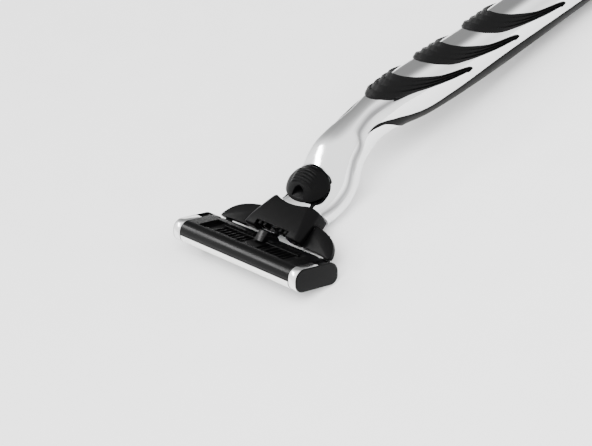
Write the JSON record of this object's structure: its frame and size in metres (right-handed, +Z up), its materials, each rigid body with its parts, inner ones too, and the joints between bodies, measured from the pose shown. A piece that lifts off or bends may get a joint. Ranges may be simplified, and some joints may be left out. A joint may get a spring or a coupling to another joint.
{
  "type": "cartridge razor",
  "caption": "Wet-shaving razor: curved chromed handle with crescent grips, release button, click-on connector and a pivoting multi-blade cartridge with lubricating strip and metal end clips.",
  "frame": {"origin": "centre of the bounding box on the table the razor lies on", "axes": "+Y from the cartridge towards the tail of the handle, +X across the cartridge, +Z up from the table; at rest the razor lies on the underside of its neck and on the tail, with the fins of its guard a tenth of a millimetre off the table"},
  "size_m": [0.0414, 0.1418, 0.0165],
  "materials": {
    "chrome_handle": "bright chrome plate",
    "grip_rubber": "matt soft-touch",
    "black_plastic": "fine matt",
    "satin_plastic": "satin",
    "fin_rubber": "matt",
    "lubricating_polymer": "smooth pale",
    "clip_metal": "bright",
    "blade_steel": "ground",
    "spring_steel": "drawn wire"
  },
  "bodies": {
    "handle": {"handle_body": "chrome_handle", "back_strip": "grip_rubber", "grip_pad_front": "grip_rubber", "grip_pad_middle": "grip_rubber", "grip_pad_rear": "grip_rubber", "nose_block": "black_plastic", "button_spring": "spring_steel", "plunger_spring": "spring_steel"},
    "button": {"release_button": "black_plastic"},
    "plunger": {"plunger": "black_plastic"},
    "connector": {"connector_hood": "black_plastic", "connector_yoke": "satin_plastic"},
    "cartridge": {"cartridge_housing": "satin_plastic", "lubricating_strip": "lubricating_polymer", "guard_fins": "fin_rubber", "clip_left": "clip_metal", "clip_right": "clip_metal"},
    "blade_1_unit": {"blade_1": "blade_steel", "blade_support_1": "blade_steel"},
    "blade_2_unit": {"blade_2": "blade_steel", "blade_support_2": "blade_steel"},
    "blade_3_unit": {"blade_3": "blade_steel", "blade_support_3": "blade_steel"}
  },
  "joints": [
    {"name": "button_slide", "type": "slide", "parent": "handle", "child": "button", "axis": [0, -0.9654, -0.2608], "range_m": [0, 0.0032], "stiffness_N_per_m": 500, "springref_m": -0.0016, "deforming": ["button_spring"]},
    {"name": "connector_release", "type": "slide", "parent": "handle", "child": "connector", "axis": [0, -0.9654, -0.2608], "range_m": [0, 0.0032]},
    {"name": "plunger_slide", "type": "slide", "parent": "handle", "child": "plunger", "axis": [0, 0.9654, 0.2608], "range_m": [0, 0.00093], "deforming": ["plunger_spring"]},
    {"name": "cartridge_pivot", "type": "hinge", "parent": "connector", "child": "cartridge", "pos_m": [0, -0.06359, 0.00165], "axis": [1, 0, 0], "range_deg": [-41, 0], "stiffness_Nm_per_rad": 0.004, "springref_deg": 20.05},
    {"name": "blade_1_float", "type": "slide", "parent": "cartridge", "child": "blade_1_unit", "axis": [0, 0.4208, 0.9072], "range_m": [0, 0.0002], "stiffness_N_per_m": 20, "springref_m": -0.002},
    {"name": "blade_2_float", "type": "slide", "parent": "cartridge", "child": "blade_2_unit", "axis": [0, 0.4208, 0.9072], "range_m": [0, 0.0002], "stiffness_N_per_m": 20, "springref_m": -0.002},
    {"name": "blade_3_float", "type": "slide", "parent": "cartridge", "child": "blade_3_unit", "axis": [0, 0.4208, 0.9072], "range_m": [0, 0.0002], "stiffness_N_per_m": 20, "springref_m": -0.002}
  ],
  "couplings": [
    {"joint": "connector_release", "follows": "button_slide", "ratio": 1},
    {"joint": "cartridge_pivot", "follows": "plunger_slide", "rad_per_m": -769.23}
  ]
}
